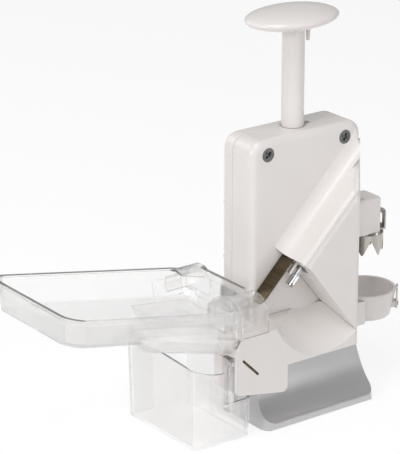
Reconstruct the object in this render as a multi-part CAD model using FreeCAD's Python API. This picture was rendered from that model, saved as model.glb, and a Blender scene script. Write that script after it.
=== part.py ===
import FreeCAD, Part
import math
import os

# Cherry pitter worked by a palm knob. Millimetres, X to the right along the housing's width,
# Y to the back, Z up from the table. The origin is on the table under the plunger's axis.

# Housing
house_half = 48.0
house_front = -17.0
house_back = 17.0
house_bottom = 37.5
house_top = 206.0
house_corner = 11.0
house_round = 5.0
seam_y = 5.0
seam_groove = 0.6
wall = 2.5
bush_r = 9.2
bush_bottom = 196.0
shell_screw_x = (-34.0, 33.0)
shell_screw_z = 195.6
screw_head_r = 5.0
screw_r = 1.9
post_r = 4.5

# Front block with the slanting tunnel
block_front = -42.0
flank_line = 144.5          # Z minus X along the flank's foot
flank_draft = 3.0
block_left = -46.0
block_base_right = 47.0
block_front_right = 27.0
block_front_bottom = 50.5
flank_round = 7.0
flank_hollow = 8.0
side_round = 5.0
inner_front_cut = 8.0       # how far the pocket's tool stands out past the block's front

# Pocket, wall and dish that guide the pitted fruit forward
mouth_sum = 100.0           # X plus Z along the tunnel's mouth
deck_z = 78.7
guide_wall_top = (-13.8, 113.8)
guide_wall_foot = (27.8, 59.5)
dish_centre = (-2.0, 98.5)
dish_rim_r = 46.8
dish_floor_r = 22.0

# Slanting pin, measured from the point of its axis where X plus Z is nought
pin_y = -28.5
pin_line = 126.5            # Z minus X along the pin's axis
pin_shaft_r = 1.7
tip_at = 55.9
mouth_at = mouth_sum / math.sqrt(2)
mouth_wall = 4.5
seat_at = 22.3
plate_at = -7.4
arm_at = 136.3
arm_thick = 3.9
boss_from = 122.0
boss_to = 132.0
boss_r = 4.0
leg_half = 3.5
arm_half = 4.0
arm_room = 4.9
guide_r = 4.6
guide_wall = 1.6
tongue_length = 9.0
star_r = 3.4
star_core_r = 2.2
star_length = 8.6

# Carriage of the pin and the rails beside it
carriage_half = 6.7
carriage_from = 124.0
carriage_to = 144.0
carriage_front = -14.2
carriage_back = -9.8
rail_gap = 0.3
rail_thick = 2.0
stud_r = 3.0
stud_stem_r = 2.0
stud_stem = 3.0
stud_end = -3.6

# Plunger
stroke = 65.0
tube_r = 7.9
tube_bore_r = 5.9
tube_bottom = 184.0
knob_centre = (-1.5, 0.0, 283.3)
knob_half = (36.0, 25.0, 7.2)
peg_x = 11.7
peg_tip_z = 264.5
plate_front = -8.0
plate_back = -4.0
hub_r = 9.0
rod_x = -26.0
rod_y = -1.0
rod_r = 3.0
spring_r = 6.0
spring_bore_r = 4.6
spring_foot = 44.0
spring_top = 174.0

# Plum side
plum_x = 67.0
plum_block_left = 50.0
plum_block_right = 74.8
plum_block_half = 10.0
plum_block_bottom = 115.0
plum_block_top = 141.0
blade_x = 69.0
blade_r = 12.2
blade_low = 98.5
carrier_x = 81.2
carrier_top = 128.5
blade_thick = 0.8
cup_x = 69.5
cup_r = 22.0
cup_foot_r = 18.0
cup_bottom = 50.0
cup_top = 70.5
clip_rivet_z = 58.2
clip_turn = -40.0           # degrees from +X to the clip on the cup's rim
cup_hole_r = 14.5

# Bracket, stone hole and pit plate
bracket_left = -79.5
bracket_right = -34.8
bracket_roof = 64.0
cradle_r = 12.2
cradle_z = 78.5
cradle_end = -35.0
stone_hole_r = 8.0
stone_hole_from = -8.0
pit_plate_width = 19.0
pit_plate_thick = 1.6
pit_plate_shift = -2.1
strip_line = 141.6          # Z minus X along the guard strip
strip_end = 32.0
strip_back = -17.3
strip_front = -29.3

# Tray, feed tunnel and stone container
tray_slope = math.radians(11)
tray_left = -215.0
tray_right = -50.0
tray_front = -47.0
tray_behind = 54.0
tray_depth = 20.0
tray_wall = 2.0
tray_rim_at_nought = 86.3
tray_draft = 5.0
hook_y = (-6.0, 8.0)
hood_y = 40.0
trough_slope = math.radians(15.4)
trough_from = -140.0
trough_to = -79.5
trough_to_z = 80.5
tunnel_left = -77.0
tunnel_right = -52.0
tunnel_spring_z = 91.0
box_left = -108.0
box_right = -57.0
box_front = -33.0
box_behind = 49.0
box_high = 66.0
box_low = 29.0

# Foot
foot_left = -44.0
foot_right = 48.0
foot_y = -9.0
foot_half = 27.6
foot_neck_half = 7.0
foot_flare = 3.5            # how much longer the foot is at its base than at its neck, each end
foot_rim_top = 5.6
foot_screw_x = (-12.0, 28.0)
pad_inset = 6.0
pad_thick = 3.4

root2 = math.sqrt(2)
vec = FreeCAD.Vector


# A closed wire through corner points, each corner rounded by its own radius
def rounded_wire(points, radii, place):
    corners = [vec(a, b, 0) for a, b in points]
    if not isinstance(radii, (list, tuple)):
        radii = [radii] * len(corners)
    starts, middles, ends = [], [], []
    for i, corner in enumerate(corners):
        to_last = (corners[i - 1] - corner).normalize()
        to_next = (corners[(i + 1) % len(corners)] - corner).normalize()
        half = to_last.getAngle(to_next) / 2
        reach = radii[i] / math.tan(half)
        inward = (to_last + to_next).normalize()
        starts.append(corner + to_last * reach)
        ends.append(corner + to_next * reach)
        middles.append(corner + inward * (radii[i] / math.sin(half) - radii[i]))
    edges = []
    for i in range(len(corners)):
        if radii[i] > 0:
            edges.append(Part.Arc(place(starts[i]), place(middles[i]), place(ends[i])).toShape())
        after = (i + 1) % len(corners)
        if (starts[after] - ends[i]).Length > 0.001:
            edges.append(Part.makeLine(place(ends[i]), place(starts[after])))
    return Part.Wire(Part.__sortEdges__(edges))


def prism_along_y(points, radii, y0, y1):
    wire = rounded_wire(points, radii, lambda p: vec(p.x, y0, p.y))
    return Part.Face(wire).extrude(vec(0, y1 - y0, 0))


def prism_along_z(points, radii, z0, z1):
    wire = rounded_wire(points, radii, lambda p: vec(p.x, p.y, z0))
    return Part.Face(wire).extrude(vec(0, 0, z1 - z0))


def prism_along_x(points, radii, x0, x1):
    wire = rounded_wire(points, radii, lambda p: vec(x0, p.x, p.y))
    return Part.Face(wire).extrude(vec(x1 - x0, 0, 0))


def box(x0, x1, y0, y1, z0, z1):
    return Part.makeBox(x1 - x0, y1 - y0, z1 - z0, vec(x0, y0, z0))


def rectangle(x0, x1, y0, y1):
    return [(x0, y0), (x1, y0), (x1, y1), (x0, y1)]


def loft_between(lower, lower_radius, z0, upper, upper_radius, z1):
    wires = [rounded_wire(lower, lower_radius, lambda p: vec(p.x, p.y, z0)),
             rounded_wire(upper, upper_radius, lambda p: vec(p.x, p.y, z1))]
    return Part.makeLoft(wires, True, True)


def disc(radius, x, y, z0, z1):
    return Part.makeCylinder(radius, z1 - z0, vec(x, y, z0))


def edges_where(shape, test):
    return [edge for edge in shape.Edges if all(test(vertex.Point) for vertex in edge.Vertexes)]


# Turns a shape drawn level, along +X from the start of the pin's axis, into its slanting place
def slant(shape):
    placed = shape.copy()
    placed.rotate(vec(0, 0, 0), vec(0, 1, 0), -45)
    placed.translate(vec(-pin_line / 2, pin_y, pin_line / 2))
    return placed


def slanted_box(a0, a1, y0, y1, across0, across1):
    return slant(box(a0, a1, y0 - pin_y, y1 - pin_y, across0, across1))


def slanted_cylinder(radius, a0, a1):
    return slant(Part.makeCylinder(radius, a1 - a0, vec(a0, 0, 0), vec(1, 0, 0)))


def housing_prism(inset, y0, y1):
    left = -house_half + inset
    low = house_bottom + inset
    top = house_top - inset
    corner = house_corner - inset
    return prism_along_y([(left, low), (-left, low), (-left, top), (left, top)],
                         [0, 0, corner, corner], y0, y1)


def front_block(inset, front_y, back_y):
    # a four-sided frustum that narrows from the housing's face to the block's front
    def four_corners(y):
        # behind the housing's face it keeps the size that it has there
        t = max(0.0, (y - house_front) / (block_front - house_front))
        line = flank_line - root2 * (flank_draft * t + inset)
        left = block_left + inset
        right = block_base_right + (block_front_right - block_base_right) * t - 1.28 * inset
        low = house_bottom + (block_front_bottom - house_bottom) * t + 1.1 * inset
        outline = [(left, left + line), (right, right + line), (right, low), (left, low)]
        return [vec(x, y, z) for x, z in outline]
    wires = []
    for y in (back_y, front_y):
        corners = four_corners(y)
        wires.append(Part.makePolygon(corners + corners[:1]))
    return Part.makeLoft(wires, True, True)


def pocket(margin, floor_y):
    # the space in front of the main face that is open to the left, and the dish below it
    sum_line = mouth_sum + margin * root2
    slope = ((guide_wall_foot[0] - guide_wall_top[0]), (guide_wall_foot[1] - guide_wall_top[1]))
    length = math.hypot(*slope)
    along = (slope[0] / length, slope[1] / length)
    shift = (-along[1] * margin, along[0] * margin)
    base = (guide_wall_top[0] + shift[0], guide_wall_top[1] + shift[1])
    # the wall's line meets the mouth's line
    step = (sum_line - base[0] - base[1]) / (along[0] + along[1])
    top = (base[0] + along[0] * step, base[1] + along[1] * step)
    deck = deck_z - margin
    reach = (deck - top[1]) / along[1]
    at_deck = (top[0] + along[0] * reach, deck)
    low = 30.0
    reach = (low - top[1]) / along[1]
    at_low = (top[0] + along[0] * reach, low)
    far = -100.0
    start_y = block_front - inner_front_cut
    upper = prism_along_y([(far, deck), at_deck, top, (far, sum_line - far)], 0, start_y, floor_y)
    side = prism_along_y([(far, low), at_low, top, (far, sum_line - far)], 0, start_y, floor_y)
    growth = (dish_rim_r - dish_floor_r) / (house_front - block_front)
    depth = floor_y - start_y
    wide = dish_rim_r + inner_front_cut * growth + margin * 1.3
    cone = Part.makeCone(wide, wide - growth * depth, depth,
                         vec(dish_centre[0], start_y, dish_centre[1]), vec(0, 1, 0))
    return upper.fuse(cone.common(side))


def bracket_solid():
    points = [(-74.3, deck_z), (-30.0, deck_z), (-30.0, block_front_bottom),
              (bracket_right, block_front_bottom), (bracket_right, 30.5),
              (bracket_left, 38.5), (bracket_left, 65.0)]
    solid = prism_along_y(points, [0, 0, 0, 0, 4, 4, 0], block_front, house_front)
    # it is cut back where the foot's neck stands
    return solid.cut(box(foot_left - 3, bracket_right + 1, -20.5, house_front + 1, 20, house_bottom))


def bracket_hollow():
    low = 20.0
    points = [(bracket_left + wall, low), (bracket_right - wall, low),
              (bracket_right - wall, bracket_roof), (bracket_left + wall, bracket_roof)]
    return prism_along_y(points, [0, 0, 2, 0], block_front + wall, house_front - wall)


def rails():
    # two ribs beside the carriage, inside the housing and the block
    gap = carriage_half + rail_gap
    inside = housing_prism(1, house_front, carriage_back)
    inside = inside.fuse(front_block(1, block_front + 1, house_front + 1))
    ribs = []
    for low in (gap, -gap - rail_thick):
        ribs.append(slanted_box(57, 150, block_front, carriage_back, low, low + rail_thick))
    ribs = ribs[0].fuse(ribs[1])
    ribs = ribs.cut(slanted_box(0, mouth_at, block_front - 1, house_front + 0.5, -20, 20))
    return ribs.common(inside)


def seam_edges(shell):
    # the outline's edges on the seam, without the bottom one, which stands on the foot
    on_seam = edges_where(shell, lambda p: abs(p.y - seam_y) < 0.01)
    return [edge for edge in on_seam if edge.BoundBox.ZMax > house_bottom + 1]


def flank_hollow_bar():
    # fills the corner between the housing's face and the flank with a hollow curve
    foot = (flank_line - pin_line) / root2
    slope = flank_draft / (block_front - house_front)
    r = flank_hollow
    lean = math.atan(slope)
    # tangent points on the face and on the flank, with the corner between them
    reach = r * math.tan(math.radians(45) - lean / 2)
    on_face = (foot + reach, house_front)
    on_flank = (foot + reach * math.sin(lean), house_front - reach * math.cos(lean))
    centre = (foot + reach, house_front - r)
    middle_angle = math.radians(135) + lean / 2
    middle = (centre[0] + r * math.cos(middle_angle), centre[1] + r * math.sin(middle_angle))

    def place(p):
        return vec(mouth_at, p[1] - pin_y, p[0])
    sunk = 0.6
    corner = (foot - sunk, house_front + sunk)
    edges = [Part.Arc(place(on_face), place(middle), place(on_flank)).toShape(),
             Part.makeLine(place(on_flank), place((on_flank[0] - sunk, on_flank[1]))),
             Part.makeLine(place((on_flank[0] - sunk, on_flank[1])), place(corner)),
             Part.makeLine(place(corner), place((on_face[0], on_face[1] + sunk))),
             Part.makeLine(place((on_face[0], on_face[1] + sunk)), place(on_face))]
    section = Part.Face(Part.Wire(Part.__sortEdges__(edges)))
    bar = slant(section.extrude(vec(200, 0, 0)))
    # it ends where the block's right side leans back
    flat_right = house_half - house_round
    lean_y = house_front + (block_base_right - flat_right) / (block_base_right - block_front_right) * (
        block_front - house_front)
    plan = [(-60, 0), (flat_right, 0), (flat_right, lean_y),
            (block_front_right, block_front), (-60, block_front)]
    return bar.common(prism_along_z(plan, 0, 40, house_top - house_round))


def front_shell():
    shell = housing_prism(0, house_front, seam_y)
    front_edges = edges_where(shell, lambda p: abs(p.y - house_front) < 0.01)
    shell = shell.makeFillet(house_round, [e for e in front_edges if e.BoundBox.ZMax > house_bottom + 1])
    shell = shell.makeChamfer(seam_groove, seam_edges(shell))
    block = front_block(0, block_front, house_front)
    flank = edges_where(block, lambda p: abs(p.y - block_front) < 0.01 and p.z > 90)
    block = block.makeFillet(flank_round, flank)
    right = [e for e in block.Edges if e.BoundBox.YMax < block_front + 0.01 and e.BoundBox.XMin > 20]
    right = [e for e in right if e.BoundBox.ZLength > 50]
    block = block.makeFillet(side_round, right)
    root = front_block(0, house_front, house_front + 4)
    shell = shell.fuse([block, root, bracket_solid(), flank_hollow_bar()])
    inner = housing_prism(wall, house_front + wall, seam_y + 1)
    inner_block = front_block(wall, block_front + wall, house_front)
    inner_block = inner_block.fuse(front_block(wall, house_front, house_front + wall + 0.5))
    inner_block = inner_block.cut(pocket(wall, house_front + wall))
    inner_block = inner_block.cut(slanted_box(0, mouth_at + mouth_wall, -50, 0, -40, 40))
    inner_block = inner_block.cut(box(-60, bracket_right + wall, -50, 0, 30, 90))
    shell = shell.cut(pocket(0, house_front))
    shell = shell.cut(inner)
    shell = shell.cut(inner_block)
    shell = shell.cut(bracket_hollow())
    shell = shell.fuse(rails())
    # seat for the fruit, stone hole below it and the ways for pin, strip and plate
    cradle = Part.makeCylinder(cradle_r, cradle_end + 82, vec(-82, pin_y, cradle_z), vec(1, 0, 0))
    shell = shell.cut(cradle)
    shell = shell.cut(slanted_cylinder(stone_hole_r, stone_hole_from, seat_at))
    shell = shell.cut(slanted_cylinder(guide_r + guide_wall + 0.05, mouth_at - 1, mouth_at + mouth_wall + 1))
    mouth_inside = mouth_at + mouth_wall + 1
    for start, back in ((mouth_at - 1.4, house_front - 0.05), (mouth_at + 0.3, house_front + wall + 0.1)):
        shell = shell.cut(slanted_box(start, mouth_inside, pin_y, back, -arm_room, arm_room))
    strip_across = (strip_line - pin_line) / root2
    shell = shell.cut(slanted_box(60, mouth_at + mouth_wall - 0.3, strip_front - 0.05, strip_back + 0.3,
                                  strip_across - 0.55, strip_across + 0.55))
    half = pit_plate_width / 2 + 0.1
    shell = shell.cut(slanted_box(plate_at - pit_plate_thick / 2 - 0.1, plate_at + pit_plate_thick / 2 + 0.1,
                                  block_front - 1, house_front - 1.2,
                                  pit_plate_shift - half, pit_plate_shift + half))
    # posts for the screws and for the spring's rod
    posts = [disc(6, rod_x, rod_y, house_bottom + 1, spring_foot),
             disc(6, rod_x, rod_y, 199.5, house_top - 1)]
    for x in shell_screw_x:
        at = vec(x, house_front + 1, shell_screw_z)
        posts.append(Part.makeCylinder(post_r, seam_y - house_front - 1, at, vec(0, 1, 0)))
    for x in foot_screw_x:
        posts.append(disc(post_r, x, foot_y, house_bottom + 1, 52))
    shell = shell.fuse(posts)
    shell = shell.cut(disc(rod_r + 0.02, rod_x, rod_y, house_bottom + wall, house_top - wall))
    for x in shell_screw_x:
        at = vec(x, house_front - 1, shell_screw_z)
        shell = shell.cut(Part.makeCylinder(screw_head_r + 0.05, 2.5, at, vec(0, 1, 0)))
        shell = shell.cut(Part.makeCylinder(screw_r + 0.05, 40, at, vec(0, 1, 0)))
    for x in foot_screw_x:
        shell = shell.cut(disc(screw_r + 0.05, x, foot_y, 30, 48.3))
    shell = shell.cut(openings_through_walls())
    # ledge for the stone container's hook on the bracket's left face
    shell = shell.fuse(box(bracket_left - 1.8, bracket_left + 1, -40, -20, 60, 63))
    return shell.removeSplitter()


def openings_through_walls():
    # bush hole with the peg's notch in the top, and the slot for the crosshead's arm in the right wall
    top = disc(bush_r + 0.05, 0, 0, house_top - 5, house_top + 1)
    notch = box(0, peg_x + 2.6, -2.3, 2.3, house_top - 5, house_top + 1)
    slot = box(house_half - 4, house_half + 1, -8.6, -3.4, 55, 137)
    return top.fuse([notch, slot])


def back_shell():
    shell = housing_prism(0, seam_y, house_back)
    back_edges = edges_where(shell, lambda p: abs(p.y - house_back) < 0.01)
    shell = shell.makeFillet(house_round, [e for e in back_edges if e.BoundBox.ZMax > house_bottom + 1])
    shell = shell.makeChamfer(seam_groove, seam_edges(shell))
    shell = shell.cut(housing_prism(wall, seam_y - 1, house_back - wall))
    posts = []
    for x in shell_screw_x:
        at = vec(x, seam_y, shell_screw_z)
        posts.append(Part.makeCylinder(post_r, house_back - seam_y - 1, at, vec(0, 1, 0)))
    for z in (75, 115, 155):
        posts.append(box(-house_half + 1, house_half - 1, house_back - wall - 3, house_back - 1, z, z + 1.8))
    shell = shell.fuse(posts)
    for x in shell_screw_x:
        at = vec(x, seam_y - 1, shell_screw_z)
        shell = shell.cut(Part.makeCylinder(screw_r + 0.05, 8.5, at, vec(0, 1, 0)))
    return shell.cut(openings_through_walls()).removeSplitter()


def top_bush():
    ring = disc(bush_r, 0, 0, bush_bottom, house_top)
    return ring.cut(disc(tube_r + 0.05, 0, 0, 190, house_top + 1))


def foot():
    # saddle profile: a rounded rim, a hollow curve and a narrow neck
    shoulder_end = (25.2, foot_rim_top + 0.9)
    rim = [(foot_half - 1.6, 0), (foot_half, 1.6), (foot_half, foot_rim_top - 1.8), shoulder_end]
    curve = [shoulder_end, (19.6, 11.2), (14.2, 18.4), (10.0, 27.5), (foot_neck_half, house_bottom)]
    start = foot_left - foot_flare
    edges = []
    for side in (1, -1):
        rail = [vec(start, foot_y + side * u, z) for u, z in rim]
        edges.append(Part.makeLine(rail[0], rail[1]))
        edges.append(Part.makeLine(rail[1], rail[2]))
        shoulder = vec(start, foot_y + side * (foot_half - 0.6), foot_rim_top - 0.1)
        edges.append(Part.Arc(rail[2], shoulder, rail[3]).toShape())
        sweep = Part.BSplineCurve()
        sweep.interpolate([vec(start, foot_y + side * u, z) for u, z in curve])
        edges.append(sweep.toShape())
    for u, z in ((foot_half - 1.6, 0), (foot_neck_half, house_bottom)):
        edges.append(Part.makeLine(vec(start, foot_y - u, z), vec(start, foot_y + u, z)))
    wire = Part.Wire(Part.__sortEdges__(edges))
    body = Part.Face(wire).extrude(vec(foot_right - foot_left + 2 * foot_flare, 0, 0))
    # the ends lean out towards the base
    front, back = foot_y - foot_half, foot_y + foot_half
    base = rectangle(foot_left - foot_flare, foot_right + foot_flare, front, back)
    neck = rectangle(foot_left, foot_right, front, back)
    body = body.common(loft_between(base, 9, 0, neck, 9, house_bottom))
    body = body.cut(foot_recess(0, -1, pad_thick + 0.1))
    for x in foot_screw_x:
        body = body.cut(disc(4.2, x, foot_y, 3, 14))
        body = body.cut(disc(screw_r + 0.2, x, foot_y, 3, 40))
    return body.removeSplitter()


def foot_recess(margin, z0, z1):
    inset = pad_inset + margin
    plan = rectangle(foot_left + inset, foot_right - inset,
                     foot_y - foot_half + inset, foot_y + foot_half - inset)
    return prism_along_z(plan, 6, z0, z1)


def foot_pad():
    return foot_recess(0.1, 0, pad_thick)


def screw(length, head_r, head_height):
    # head down at the origin, shank up, with a cross recess in the head
    body = Part.makeCone(head_r - 0.4, head_r, 0.4).fuse(disc(head_r, 0, 0, 0.4, head_height))
    body = body.fuse(disc(screw_r, 0, 0, head_height, length))
    cross = box(-head_r * 0.5, head_r * 0.5, -0.55, 0.55, -1, 1).fuse(
        box(-0.55, 0.55, -head_r * 0.5, head_r * 0.5, -1, 1))
    return body.cut(cross).removeSplitter()


def shell_screws():
    made = []
    for x in shell_screw_x:
        one = screw(27, screw_head_r, 1.4)
        one.rotate(vec(0, 0, 0), vec(1, 0, 0), -90)
        one.translate(vec(x, house_front + 0.1, shell_screw_z))
        made.append(one)
    return Part.makeCompound(made)


def foot_screws():
    made = []
    for x in foot_screw_x:
        one = screw(34, 4.0, 2.6)
        one.translate(vec(x, foot_y, 14 - 2.6))
        made.append(one)
    return Part.makeCompound(made)


def spring_guide_rod():
    return disc(rod_r, rod_x, rod_y, house_bottom + wall, house_top - wall)


def return_spring():
    sleeve = disc(spring_r, rod_x, rod_y, spring_foot, spring_top)
    return sleeve.cut(disc(spring_bore_r, rod_x, rod_y, spring_foot - 1, spring_top + 1))


def knob():
    ball = Part.makeSphere(1)
    turn = FreeCAD.Matrix()
    turn.scale(*knob_half)
    cap = ball.transformGeometry(turn)
    cap.translate(vec(*knob_centre))
    collar = Part.makeCone(10.5, tube_r + 1.2, 4.5, vec(0, 0, 279), vec(0, 0, -1))
    cap = cap.fuse(collar)
    cap = cap.cut(disc(tube_r + 0.05, 0, 0, 270, 283))
    return cap.cut(disc(2.2, peg_x + 1, 0, 270, 282)).removeSplitter()


def index_peg():
    return Part.makeCone(1.3, 2.0, 282 - peg_tip_z, vec(peg_x + 1, 0, peg_tip_z))


def plunger_tube():
    tube = disc(tube_r, 0, 0, tube_bottom, 283)
    tube = tube.cut(disc(tube_bore_r, 0, 0, tube_bottom - 1, 281))
    return tube.cut(Part.makeCylinder(1.55, 40, vec(0, -20, 191), vec(0, 1, 0)))


def tube_pin():
    return Part.makeCylinder(1.5, 2 * tube_r - 0.6, vec(0, -tube_r + 0.3, 191), vec(0, 1, 0))


def stud_place(at_stroke):
    at = arm_at + arm_thick / 2
    along = at / root2
    return (along - pin_line / 2 - at_stroke / root2, along + pin_line / 2 - at_stroke / root2)


def crosshead():
    rest = stud_place(0)
    low = stud_place(stroke)
    end = (low[0], low[1] + stroke)
    reach = (rest[0] - end[0], rest[1] - end[1])
    length = math.hypot(*reach)
    along = (reach[0] / length, reach[1] / length)
    over = (-along[1], along[0])

    def band(half, past):
        # a strip round the stud's path through the plate, with round ends
        points = []
        for a, b in rectangle(-past, length + past, -half, half):
            points.append((end[0] + along[0] * a + over[0] * b, end[1] + along[1] * a + over[1] * b))
        return points
    margin = 8.0
    plate = prism_along_y(band(margin, margin - 0.7), margin - 0.8, plate_front, plate_back)
    plate = plate.common(box(-60, 42, -20, 20, 100, 200))
    link = box(rod_x - 3, 5, plate_front, plate_back, 174, 184)
    arm = prism_along_y([(36.5, 122), (42, 122), (42, 162), (36.5, 158)], 0, plate_front, plate_back)
    tongue = box(38, plum_block_left + 4, plate_front, plate_back, 122, 134)
    hub = disc(hub_r, 0, 0, 170, tube_bottom)
    spigot = disc(tube_bore_r - 0.05, 0, 0, tube_bottom - 1, 197)
    eye = disc(spring_r, rod_x, rod_y, spring_top, 187)
    web = box(rod_x, 0, -3, 1, 176, 184)
    slot = prism_along_y(band(stud_r + 0.3, stud_r + 0.3), stud_r + 0.29, -20, plate_back + 0.8)
    slot_room = slot.common(box(-60, 60, -20, plate_back + 0.8, 100, 200))
    head = plate.fuse([link, arm, tongue, hub, eye, web])
    head = head.cut(disc(tube_r + 0.3, 0, 0, tube_bottom, 200))
    head = head.fuse(spigot)
    head = head.cut(slot_room)
    head = head.cut(disc(rod_r + 0.05, rod_x, rod_y, 100, 200))
    head = head.cut(Part.makeCylinder(1.55, 40, vec(0, -20, 191), vec(0, 1, 0)))
    return head.removeSplitter()


def pin_carriage():
    block = slanted_box(carriage_from, carriage_to, carriage_front, carriage_back,
                        -carriage_half, carriage_half)
    arm = slanted_box(arm_at, arm_at + arm_thick, -23.5, carriage_front + 1, -arm_half, arm_half)
    leg = slanted_box(boss_from, arm_at + arm_thick, -25.2, -20.5, -leg_half, leg_half)
    boss = slanted_cylinder(boss_r, boss_from, boss_to)
    body = block.fuse([arm, leg, boss])
    # the leg's corner is cut back to clear the block's right wall
    room = front_block(wall + 0.6, block_front + wall, house_front)
    body = body.common(room.fuse(box(-60, 60, house_front, 0, 100, 220)))
    body = body.cut(slanted_cylinder(pin_shaft_r + 0.03, boss_from - 1, boss_to - 1.5))
    x, z = stud_place(0)
    stud_hole = Part.makeCylinder(stud_stem_r + 0.05, 10, vec(x, carriage_back - stud_stem, z), vec(0, 1, 0))
    return body.cut(stud_hole).removeSplitter()


def follower_stud():
    x, z = stud_place(0)
    stem = Part.makeCylinder(stud_stem_r, stud_stem + 0.2, vec(x, carriage_back - stud_stem, z), vec(0, 1, 0))
    roller = Part.makeCylinder(stud_r, stud_end - carriage_back, vec(x, carriage_back, z), vec(0, 1, 0))
    return stem.fuse(roller)


def cherry_pin():
    return slanted_cylinder(pin_shaft_r, tip_at + 2.5, boss_to - 1.6)


def pin_head():
    # four-pointed star with a notch across its end
    points = []
    for i in range(8):
        radius = star_r if i % 2 == 0 else star_core_r
        angle = math.radians(45 * i)
        points.append(vec(tip_at, radius * math.cos(angle), radius * math.sin(angle)))
    star = Part.Face(Part.makePolygon(points + points[:1])).extrude(vec(star_length, 0, 0))
    skirt = Part.makeCone(star_r + 0.2, pin_shaft_r + 0.5, star_length, vec(tip_at, 0, 0), vec(1, 0, 0))
    star = star.common(skirt)
    corners = [vec(tip_at - 1, -9, -1.8), vec(tip_at + 2, -9, 0), vec(tip_at - 1, -9, 1.8)]
    notch = Part.Face(Part.makePolygon(corners + corners[:1])).extrude(vec(0, 18, 0))
    star = star.cut(notch)
    star = star.cut(Part.makeCylinder(pin_shaft_r + 0.02, 20, vec(tip_at + 2.4, 0, 0), vec(1, 0, 0)))
    return slant(star)


def pin_guide():
    outer = guide_r + guide_wall
    collar = Part.makeCylinder(outer, mouth_wall - 0.1, vec(mouth_at, 0, 0), vec(1, 0, 0))
    tongue_tip = mouth_at - tongue_length
    tongue = Part.makeCylinder(outer, tongue_length + 0.5, vec(tongue_tip, 0, 0), vec(1, 0, 0))
    tongue = tongue.common(box(0, 200, -20, 20, 0.5, 20))
    # the tongue's end is round
    end_r = outer + 1.5
    round_end = Part.makeCylinder(end_r, 20, vec(tongue_tip + end_r, 0, 0), vec(0, 0, 1))
    keep = round_end.fuse(box(tongue_tip + end_r, mouth_at + 10, -20, 20, -20, 20))
    tongue = tongue.common(keep)
    guide = collar.fuse(tongue)
    guide = guide.cut(Part.makeCylinder(guide_r, 60, vec(mouth_at - 20, 0, 0), vec(1, 0, 0)))
    guide = guide.cut(box(0, 200, 0, 20, -4.6, 4.6))
    guide = guide.cut(box(0, 200, 0, 20, -20, -4))
    # nothing of the tongue stands before the pin
    guide = guide.cut(box(0, mouth_at, -20, -0.5, -20, 20))
    return slant(guide).removeSplitter()


def guard_strip():
    across = (strip_line - pin_line) / root2
    strip = slanted_box(strip_end, mouth_at + mouth_wall - 0.4, strip_front, strip_back,
                        across - 0.5, across + 0.5)
    ends = edges_where(strip, lambda p: abs((p.x + p.z) / root2 - strip_end) < 0.05)
    short = [e for e in ends if e.Length < 1.5]
    return strip.makeFillet(4, short)


def pit_plate():
    half = pit_plate_width / 2
    plate = slanted_box(plate_at - pit_plate_thick / 2, plate_at + pit_plate_thick / 2,
                        block_front + 0.2, house_front - 1.3,
                        pit_plate_shift - half, pit_plate_shift + half)
    return plate.cut(slanted_cylinder(5.2, plate_at - 5, plate_at + 5))


def feed_tunnel():
    # clear arch on straight walls, with a flange at its open left end
    def arch(radius, x0, x1, low):
        top = Part.makeCylinder(radius, x1 - x0, vec(x0, pin_y, tunnel_spring_z), vec(1, 0, 0))
        return top.fuse(box(x0, x1, pin_y - radius, pin_y + radius, low, tunnel_spring_z))
    inner = cradle_r
    outer = cradle_r + 1.6
    shape = arch(outer, tunnel_left, tunnel_right, deck_z)
    shape = shape.common(box(-100, 0, -60, house_front + 2.0, deck_z, 110))
    flange = arch(inner + 3.4, tunnel_left - 0.1, tunnel_left + 1.9, deck_z).common(
        box(-100, 0, -60, house_front + 3, deck_z, 110))
    shape = shape.fuse(flange)
    shape = shape.cut(arch(inner, tunnel_left - 5, tunnel_right + 5, deck_z - 10))
    return shape.common(box(-100, 0, -60, 60, deck_z, 110)).removeSplitter()


def tray_frame(shape):
    # drawn level with its rim at Z 0 and its right end at X 0, then tilted and lifted
    placed = shape.copy()
    placed.rotate(vec(0, 0, 0), vec(0, 1, 0), math.degrees(tray_slope))
    placed.translate(vec(tray_right, 0, tray_rim_at_nought - math.tan(tray_slope) * tray_right))
    return placed


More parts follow.
